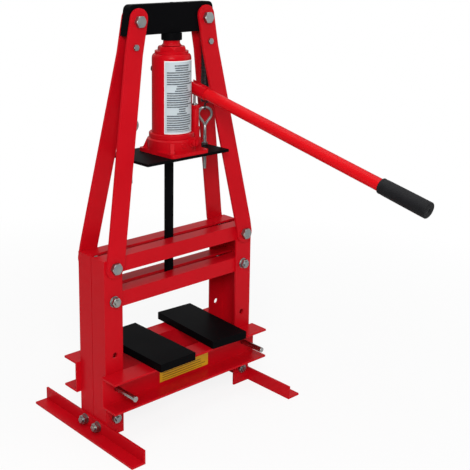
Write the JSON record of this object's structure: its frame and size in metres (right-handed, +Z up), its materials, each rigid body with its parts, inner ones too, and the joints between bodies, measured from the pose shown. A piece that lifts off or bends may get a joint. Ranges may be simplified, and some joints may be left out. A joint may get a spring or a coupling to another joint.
{
  "type": "bench-top hydraulic shop press",
  "caption": "Red bench-top A-frame shop press: a hand-pumped bottle jack drives a sliding table and square ram down over a pinned bed, with two return springs.",
  "frame": {"origin": "middle of the press rod's lower face, the tool point, at rest", "axes": "+Z up along the rod; -Y towards the user in front; +X to the user's right"},
  "size_m": [0.413, 0.6544, 0.762],
  "materials": {
    "red_paint": "glossy powder coat",
    "jack_paint": "wet-look enamel over castings",
    "handle_paint": "glossy powder coat",
    "black_paint": "satin black",
    "zinc": "zinc-plated",
    "bright_steel": "bright, ground",
    "spring_steel": "oiled black wire",
    "foam": "matt foam",
    "seal_rubber": "matt",
    "white_label": "printed film, plain rules only",
    "yellow_label": "printed film, plain rules only"
  },
  "bodies": {
    "root": {"upright_front_left": "red_paint", "upright_rear_left": "red_paint", "upright_front_right": "red_paint", "upright_rear_right": "red_paint", "foot_left": "red_paint", "foot_right": "red_paint", "upper_rail_front": "red_paint", "upper_rail_rear": "red_paint", "lower_rail_front": "red_paint", "lower_rail_rear": "red_paint", "bar_front_left": "red_paint", "bar_rear_left": "red_paint", "bar_front_right": "red_paint", "bar_rear_right": "red_paint", "crown_front_plate": "black_paint", "crown_rear_plate": "black_paint", "crown_strip": "black_paint", "crown_spacers": "zinc", "crown_bolts": "zinc", "crown_nuts": "zinc", "spring_bolts": "zinc", "bar_bolts": "zinc", "bar_nuts": "zinc", "rail_bolts": "zinc", "tie_bolts": "zinc", "tie_spacers": "zinc", "foot_bolts": "zinc", "bed_channel_front": "red_paint", "bed_channel_rear": "red_paint", "bed_label": "yellow_label", "jack_seat": "black_paint", "jack_ram": "bright_steel", "ram_seal": "seal_rubber", "extension_screw": "jack_paint", "return_spring_left": "spring_steel", "return_spring_right": "spring_steel"},
    "press": {"press_table": "black_paint", "press_rod": "black_paint", "eye_bolt_left": "bright_steel", "eye_bolt_right": "bright_steel", "eye_nuts": "zinc", "jack_base": "jack_paint", "jack_reservoir": "jack_paint", "jack_cylinder": "bright_steel", "top_nut": "jack_paint", "filler_plug": "seal_rubber", "jack_label": "white_label", "pump_cylinder": "jack_paint", "pump_link": "jack_paint", "link_pins": "zinc"},
    "lever": {"handle_socket": "jack_paint"},
    "handle": {"handle_tube": "handle_paint", "handle_grip": "foam"},
    "plunger": {"pump_plunger": "bright_steel"},
    "valve": {"release_valve": "jack_paint"},
    "pin_left": {"bed_pin_left": "bright_steel"},
    "pin_right": {"bed_pin_right": "bright_steel"},
    "plate_left": {"arbor_plate_left": "black_paint"},
    "plate_right": {"arbor_plate_right": "black_paint"}
  },
  "joints": [
    {"name": "press_stroke", "type": "slide", "parent": "root", "child": "press", "axis": [0, 0, -1], "range_m": [0, 0.098], "stiffness_N_per_m": 1600, "springref_m": -0.06, "deforming": ["return_spring_left", "return_spring_right"]},
    {"name": "pump_lever", "type": "hinge", "parent": "press", "child": "lever", "pos_m": [0.05385, 0.00438, 0.3692], "axis": [-0.9986, -0.0523, 0], "range_deg": [0, 44]},
    {"name": "handle_pull", "type": "slide", "parent": "lever", "child": "handle", "axis": [0.0506, -0.9664, -0.2521], "range_m": [0, 0.06]},
    {"name": "pump_stroke", "type": "slide", "parent": "press", "child": "plunger", "axis": [0, 0, 1], "range_m": [0, 0.0102]},
    {"name": "release_turn", "type": "hinge", "parent": "press", "child": "valve", "pos_m": [0.016, -0.0483, 0.2787], "axis": [0, -1, 0], "range_deg": [0, 180]},
    {"name": "pin_pull_left", "type": "slide", "parent": "root", "child": "pin_left", "axis": [0, -1, 0], "range_m": [0, 0.15]},
    {"name": "pin_pull_right", "type": "slide", "parent": "root", "child": "pin_right", "axis": [0, -1, 0], "range_m": [0, 0.15]},
    {"name": "plate_shift_left", "type": "slide", "parent": "root", "child": "plate_left", "axis": [1, 0, 0], "range_m": [-0.04, 0.02]},
    {"name": "plate_shift_right", "type": "slide", "parent": "root", "child": "plate_right", "axis": [1, 0, 0], "range_m": [-0.02, 0.005]}
  ],
  "couplings": [
    {"joint": "pump_stroke", "follows": "pump_lever", "m_per_rad": 0.01305}
  ]
}
